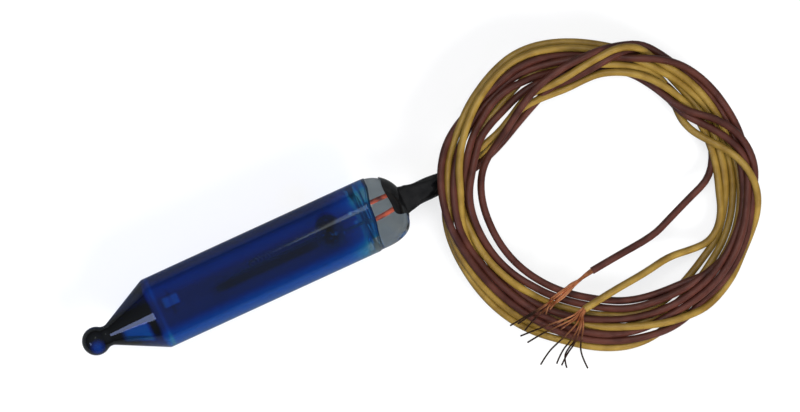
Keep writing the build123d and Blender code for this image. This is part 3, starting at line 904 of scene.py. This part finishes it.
print("mottling inputs:", [item.name for item in MOTTLING.interface.items_tree])

# %% [markdown]
# The insulation is soft plastic with a dull gloss. The copper is bright where it comes out of
# the insulation and brown with tarnish towards the tips. The sleeve is glossy black.

# %% The leads' insulation, copper and the sleeve
LEAD_ENDS = (0.0178, -0.0110, 0.003)        # between both leads' ends, in metres

yellow, shader = finish_of("yellow insulation", Roughness=0.40)
mottled(yellow, shader, (0.155, 0.088, 0.013), (0.255, 0.160, 0.030), 700.0, 0.15)
paint(yellow_lead, yellow)
brown, shader = finish_of("brown insulation", Roughness=0.36)
mottled(brown, shader, (0.036, 0.0095, 0.0062), (0.074, 0.0220, 0.0145), 700.0, 0.15)
paint(brown_lead, brown)
copper, shader = finish_of("bare copper", Metallic=0.85, Roughness=0.30)
fresh = mottled(copper, shader, (0.42, 0.12, 0.04), (0.95, 0.42, 0.20), 1500.0, 0.1)
from_leads = how_far(copper, add(copper, "ShaderNodeTexCoord").outputs["Object"], LEAD_ENDS)
tarnished = spread_between(copper, from_leads, 0.0014, 0.0032)
copper_tone = blended(copper, tarnished, fresh, (0.055, 0.028, 0.020, 1.0))
link(copper, copper_tone, shader.inputs["Base Color"])
paint(yellow_fan, copper)
paint(brown_fan, copper)
black, shader = finish_of("black sleeve", Roughness=0.16, Specular_IOR_Level=0.35)
mottled(black, shader, (0.003, 0.003, 0.0035), (0.009, 0.009, 0.009), 1500.0, 0.3)
paint(sleeve, black)
print("finishes of leads, copper and sleeve:", [m.name for m in (yellow, brown, copper, black)])

# %% [markdown]
# Glass and lacquer let shadow rays through as a tinted see-through, because a path tracer
# finds a small lamp through refracting glass only by luck.

# %% Clear glass
def see_through_shadows(material, shader, tint):
    """Shadow rays pass with a tint, all other rays meet the shader itself."""
    shadow = add(material, "ShaderNodeLightPath").outputs["Is Shadow Ray"]
    clear = add(material, "ShaderNodeBsdfTransparent", {"Color": (*tint, 1.0)})
    two_looks(material, shadow, shader, clear)


clear_glass, shader = finish_of("clear glass", Roughness=0.0, IOR=1.5, Transmission_Weight=1.0)
mottled(clear_glass, shader, (0.84, 0.88, 0.89), (0.92, 0.94, 0.94), 300.0)
see_through_shadows(clear_glass, shader, (0.90, 0.92, 0.92))
paint(glass, clear_glass)
print("index of refraction:", shader.inputs["IOR"].default_value)

# %% [markdown]
# Places on the lacquer are told apart by masks: values between 0 and 1 with soft edges, made
# from the Object coordinates. An image could be painted for it, but a mask is one number that
# can be moved by hand, and it doesn't depend on how the surface is unwrapped.

# %% Masks for places on the lacquer
def inside_box(material, sides):
    """The product of two soft edges for each (socket, low, high, softness): 1 where every
    socket lies between its low and its high value."""
    total = 1.0
    for value, low, high, soft in sides:
        for edge, inner in ((low - soft, low), (high + soft, high)):
            part = spread_between(material, value, edge, inner)
            total = calculated(material, "MULTIPLY", total, part)
    return total


def round_spot(material, place, centre, inner, outer):
    """A soft round mask seen from above: 1 nearer than inner, 0 further than outer, in mm."""
    flat = add(material, "ShaderNodeVectorMath", {0: place, 1: (1.0, 1.0, 0.0)},
               operation="MULTIPLY").outputs["Vector"]
    away = how_far(material, flat, (centre[0] * MM, centre[1] * MM, 0))
    return spread_between(material, away, outer * MM, inner * MM)


lacquer, shader = finish_of("blue lacquer", Roughness=0.05, IOR=1.5, Transmission_Weight=0.985,
                            Specular_Tint=(0.90, 0.96, 1.0, 1.0))
on_film = add(lacquer, "ShaderNodeTexCoord").outputs["Object"]
axes = add(lacquer, "ShaderNodeSeparateXYZ", {0: on_film}).outputs
x, y = axes["X"], axes["Y"]
print("lacquer's transmission:", round(shader.inputs["Transmission Weight"].default_value, 3))

# %% [markdown]
# Dipping leaves lacquer of uneven depth: thin and bright near the edge, and much darker on the cone.
# Other masks here are painted light and shade: a bright band along the near side, a lighter far side
# with a dark far rim, a lighter middle on the ball, a light line at the shoulder and a bright patch
# on the cone. Masks count in metres, as the coordinates do: x runs along the bulb to its base and y
# across it, and only round spots are given in mm. The cone's painted bright patch goes round with
# the cone, so it is laid out by y over the cone's radius.

# %% Where the film is thin or thick, and painted light and shade
CONE_SLOPE, CONE_POINT = 0.5095, 0.01324    # rise of the cone, and its point's way to x = 0

# Painted light and shade across the tube, for how the light falls: a lighter far side, a dark rim on
# the far edge and a bright band along the near side.
painted_far_light = spread_between(lacquer, y, 0.0006, 0.0013)
painted_far_rim_shade = spread_between(lacquer, y, 0.0017, 0.0022)
painted_near_light = spread_between(lacquer, y, -0.0010, -0.00195)
near_edge = spread_between(lacquer, x, 0.0045, 0.0082)
cone = spread_between(lacquer, x, -0.0080, -0.0087)
ball = spread_between(lacquer, x, -0.0121, -0.0125)
# Painted light: a lighter middle on the ball, whose rim stays darker.
painted_ball_light = round_spot(lacquer, on_film, (-12.95, -0.42), 0.12, 0.68)
cone_radius = calculated(lacquer, "MULTIPLY_ADD", x, CONE_SLOPE, CONE_SLOPE * CONE_POINT)
round_cone = calculated(lacquer, "DIVIDE", y, cone_radius)
# Painted light: a bright patch on the lower side of the cone.
painted_cone_light = inside_box(lacquer, [(x, -0.0108, -0.0094, 0.0005), (round_cone, -0.72, -0.20, 0.12)])
# Painted light: a light line round the shoulder, where the glass bends light.
shoulder = inside_box(lacquer, [(x, -0.00850, -0.00815, 0.00025), (y, -0.003, 0.003, 0.0001)])
cloud = add(lacquer, "ShaderNodeTexNoise", {"Vector": on_film, "Scale": 260.0, "Detail": 3.0})
print("nodes in the lacquer so far:", len(lacquer.node_tree.nodes))

# %% [markdown]
# The dark bead and strip inside show through the film as places of more depth, and a narrow darker
# bar lies across the tube behind the shoulder. Painted highlights go in here too, as places of less
# depth: a bright window-like reflection just past the shoulder, and two bright spots and glints
# round the bead.

# %% What shows through the film, and painted highlights
# Painted reflection: a bright window-like patch just past the shoulder.
painted_window_reflection = inside_box(lacquer, [(x, -0.00762, -0.00660, 0.00008), (y, 0.0001, 0.0007, 0.0001)])
bar = inside_box(lacquer, [(x, -0.00718, -0.00710, 0.00008), (y, -0.0005, 0.0012, 0.0001)])
smear = inside_box(lacquer, [(x, -0.0030, 0.0026, 0.0018), (y, -0.00036, -0.00012, 0.00036)])
thin_scrap = inside_box(lacquer, [(x, 0.00705, 0.0076, 0.0001), (y, -0.0024, -0.00160, 0.0001)])
bead = round_spot(lacquer, on_film, (4.62, 0.86), 0.45, 0.85)
cluster = round_spot(lacquer, on_film, (4.50, -0.20), 0.35, 0.75)
# Painted highlights: two small bright spots near the bead.
painted_highlight_spots = [round_spot(lacquer, on_film, at, 0.05, 0.20) for at in ((6.35, 0.72), (6.48, -0.02))]
# Painted glints: bright specks of grain over the dark cluster.
grain = add(lacquer, "ShaderNodeTexNoise", {"Vector": on_film, "Scale": 3600.0, "Detail": 1.0})
painted_glint_mask = spread_between(lacquer, grain.outputs["Fac"], 0.57, 0.63)
painted_glints = calculated(lacquer, "MULTIPLY", painted_glint_mask, cluster)
print("nodes in the lacquer so far:", len(lacquer.node_tree.nodes))

# %% [markdown]
# The colour follows one depth value, the sum of all masks, painted light and shade included, through
# a row of tones from nearly white, where the film is thinnest, over a bright blue to nearly black.

# %% From depth to colour
EVEN_DEPTH = 0.66
# Painted light and shade from the masks above go into the depth like real thickness of the film.
DEPTH_PARTS = [
    (painted_far_light, -0.23), (painted_far_rim_shade, 0.30), (painted_near_light, -0.39), (near_edge, -0.38), (cone, 0.36),
    (ball, -0.04), (painted_ball_light, -0.60), (cloud.outputs["Fac"], 0.10), (painted_cone_light, -0.80),
    (painted_window_reflection, -0.42), (bar, 0.12), (shoulder, -0.22), (smear, 0.17), (bead, 0.24),
    (cluster, 0.20), (painted_glints, -0.55), (painted_highlight_spots[0], -0.35), (painted_highlight_spots[1], -0.35), (thin_scrap, -0.40),
]
DEPTH_TONES = [
    (0.0, (0.80, 0.95, 0.97)), (0.18, (0.08, 0.62, 0.98)), (0.30, (0.010, 0.38, 0.98)),
    (0.60, (0.012, 0.16, 0.62)), (0.80, (0.006, 0.08, 0.34)), (1.0, (0.002, 0.006, 0.02)),
]
depth = EVEN_DEPTH
for mask, amount in DEPTH_PARTS:
    depth = calculated(lacquer, "MULTIPLY_ADD", mask, amount, depth)
tones = add(lacquer, "ShaderNodeValToRGB", {"Fac": depth})
while len(tones.color_ramp.elements) < len(DEPTH_TONES):
    tones.color_ramp.elements.new(0.5)
for stop, (at, colour) in zip(tones.color_ramp.elements, DEPTH_TONES):
    stop.position = at
    stop.color = (*colour, 1.0)
link(lacquer, tones.outputs["Color"], shader.inputs["Base Color"])
see_through_shadows(lacquer, shader, (0.34, 0.62, 0.92))
paint(film, lacquer)
print("parts of the depth:", len(DEPTH_PARTS), "| tones:", len(tones.color_ramp.elements))

# %% [markdown]
# Behind the glass sit the seal wires, copper red through the clear seal, the bead and the
# flasher's metals. These are CAD parts that keep their shapes and only get their finishes.

# %% Metals and the bead inside
# The bead is dark glass; the light tones of its mottling are painted glints.
bead_glass_and_glints, shader = finish_of("bead glass and painted glints", Roughness=0.12, Transmission_Weight=0.35)
mottled(bead_glass_and_glints, shader, (0.015, 0.02, 0.025), (0.55, 0.75, 0.85), 1500.0, 0.5, 0.60, 0.74)
nickel, shader = finish_of("nickel wire", Metallic=1.0, Roughness=0.3)
mottled(nickel, shader, (0.05, 0.05, 0.05), (0.16, 0.15, 0.14), 1500.0, 0.1)
coppered, shader = finish_of("coppered wire", Metallic=0.2, Roughness=0.35)
mottled(coppered, shader, (0.10, 0.025, 0.02), (0.55, 0.10, 0.05), 1900.0, 0.1, 0.40, 0.60)
tungsten, shader = finish_of("tungsten", Metallic=1.0, Roughness=0.4)
mottled(tungsten, shader, (0.12, 0.12, 0.13), (0.25, 0.25, 0.26), 3000.0, 0.1)
bimetal, shader = finish_of("bimetal", Metallic=0.8, Roughness=0.45)
mottled(bimetal, shader, (0.03, 0.028, 0.026), (0.09, 0.08, 0.07), 1200.0, 0.1)
solder, shader = finish_of("solder", Metallic=1.0, Roughness=0.35)
mottled(solder, shader, (0.4, 0.4, 0.41), (0.65, 0.65, 0.66), 1500.0, 0.2)
INNER_FINISHES = {
    "glass_bead": bead_glass_and_glints, "contact_post": nickel, "filament_hook": nickel,
    "contact_anvil": nickel, "contact_button": nickel, "filament": tungsten,
    "bimetal_strip": bimetal, "seal_wire_long": coppered, "seal_wire_short": coppered,
    "splice_yellow": solder, "splice_brown": solder,
}
for node, material in INNER_FINISHES.items():
    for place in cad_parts[node].material_slots:
        place.material = material
print("CAD parts with a finish of their own:", len(INNER_FINISHES))

# %% [markdown]
# ## Floor and light
#
# The photograph was cut out, so its ground is pure white. The floor shows itself nearly white
# to the camera and still keeps the object's shadow, but it sends little light back up: a
# bright floor would fill the dark glass from below.

# %% The floor
HALF_FLOOR = 2500             # half of the floor's side, in mm
SEEN_LIGHT, SEEN_LIGHT_FAR = 0.72, 0.28     # share of plain white, and what is added far away

floor = new_piece("floor", [(-HALF_FLOOR, -HALF_FLOOR, 0), (HALF_FLOOR, -HALF_FLOOR, 0),
                            (HALF_FLOOR, HALF_FLOOR, 0), (-HALF_FLOOR, HALF_FLOOR, 0)],
                  [(0, 1, 2, 3)], body=None, smooth=False)
pale_floor, shader = finish_of("pale floor", Roughness=0.9, Specular_IOR_Level=0.0)
on_floor = add(pale_floor, "ShaderNodeTexCoord").outputs["Object"]
far = spread_between(pale_floor, how_far(pale_floor, on_floor, (0.0, 0.0, 0.0)), 0.04, 0.12)
seen = add(pale_floor, "ShaderNodeLightPath").outputs["Is Camera Ray"]
dull = blended(pale_floor, far, (0.19, 0.197, 0.196, 1.0), (0.05, 0.05, 0.05, 1.0))
floor_tone = blended(pale_floor, seen, dull, (0.95, 0.95, 0.95, 1.0))
link(pale_floor, floor_tone, shader.inputs["Base Color"])
plain_white = add(pale_floor, "ShaderNodeEmission", {"Color": (1.0, 1.0, 1.0, 1.0), "Strength": 1.0})
whiteness = calculated(pale_floor, "MULTIPLY_ADD", far, SEEN_LIGHT_FAR, SEEN_LIGHT)
two_looks(pale_floor, calculated(pale_floor, "MULTIPLY", seen, whiteness), shader, plain_white)
paint(floor, pale_floor)
print("floor's side in m:", 2 * HALF_FLOOR * MM)

# %% [markdown]
# The world glows faintly from above, and shows itself white to the camera alone. So the ground
# stays white in every view, and the object still isn't flooded with light.

# %% The world
world = bpy.data.worlds.new("world")
world.use_nodes = True
scene.world = world
upwards = add(world, "ShaderNodeSeparateXYZ",
              {0: add(world, "ShaderNodeTexCoord").outputs["Generated"]}).outputs["Z"]
glow = add(world, "ShaderNodeMapRange", {"Value": upwards, "From Min": 0.0, "From Max": 0.95,
                                         "To Min": 0.15, "To Max": 0.34},
           interpolation_type="SMOOTHSTEP").outputs["Result"]
faint_sky = world.node_tree.nodes["Background"]
faint_sky.inputs["Color"].default_value = (0.92, 0.95, 1.0, 1.0)
link(world, glow, faint_sky.inputs["Strength"])
white_sky = add(world, "ShaderNodeBackground", {"Color": (1.0, 1.0, 1.0, 1.0), "Strength": 1.0})
sky_seen = add(world, "ShaderNodeLightPath").outputs["Is Camera Ray"]
two_looks(world, sky_seen, faint_sky, white_sky, "World Output")
print("nodes of the world:", len(world.node_tree.nodes))

# %% [markdown]
# The glass shows two reflections: a faint line along the tube from a strip lamp, which fades
# towards the tip, and a bluish wedge on the cone, as from a window. Two large lamps light the
# wires softly and aren't mirrored, so that the glass stays dark between the two reflections.

# %% Lamps
LAMP_AIM = Vector((8.0, -3.0, 0.0)) * MM


def lamp(name, direction, distance, size, power, mirrored=True, tone=(1.0, 1.0, 1.0)):
    """A rectangular soft lamp that shines on the middle of the object from a direction. Its
    distance and sides are in mm. One that isn't mirrored lights only, and no gloss shows it."""
    data = bpy.data.lights.new(name, "AREA")
    data.shape = "RECTANGLE"
    data.size, data.size_y = size[0] * MM, size[1] * MM
    data.energy = power
    data.color = tone
    lamp_object = bpy.data.objects.new(name, data)
    away = Vector(direction).normalized()
    lamp_object.location = LAMP_AIM + away * distance * MM
    lamp_object.rotation_mode = "QUATERNION"
    lamp_object.rotation_quaternion = (-away).to_track_quat("-Z", "Y")
    lamp_object.visible_glossy = mirrored
    lamp_object.visible_transmission = mirrored
    scene.collection.objects.link(lamp_object)
    print(name, "at", [round(c / MM) for c in lamp_object.location], "mm")


lamp("long strip", (0.052, 0.47, 0.88), 420.0, (60.0, 100.0), 0.032, tone=(1.0, 1.0, 0.85))
lamp("window", (-0.80, -0.06, 0.58), 420.0, (130.0, 70.0), 0.15, tone=(0.50, 0.58, 1.0))
lamp("near key", (0.25, -0.80, 0.55), 480.0, (260.0, 200.0), 3.2, mirrored=False)
lamp("top fill", (0.1, 0.25, 1.0), 500.0, (300.0, 300.0), 1.7, mirrored=False)
